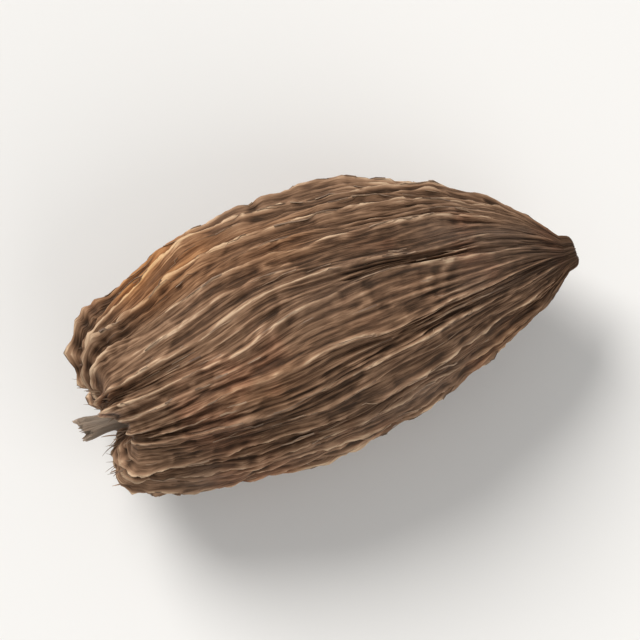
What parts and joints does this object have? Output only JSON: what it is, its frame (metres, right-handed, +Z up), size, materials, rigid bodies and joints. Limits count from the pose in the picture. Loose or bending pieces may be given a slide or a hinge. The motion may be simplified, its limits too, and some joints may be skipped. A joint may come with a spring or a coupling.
{
  "type": "black cardamom pod",
  "caption": "Dried black cardamom pod lying on its side: a blunt egg-shaped husk with rough lengthwise ribs, a torn crown with the flower's withered remnant, and a short stalk stub at the tip.",
  "frame": {"origin": "centre of the pod's length and width, on the surface that it lies on", "axes": "+X from the torn crown to the stalk stub at the tip; +Z up, away from the surface that it lies on"},
  "size_m": [0.0312, 0.0154, 0.0143],
  "materials": {
    "husk": "dry, rough and fibrous, matte brown with paler rib crests and darker furrows"
  },
  "bodies": {
    "root": {"pod": "husk"}
  },
  "joints": []
}
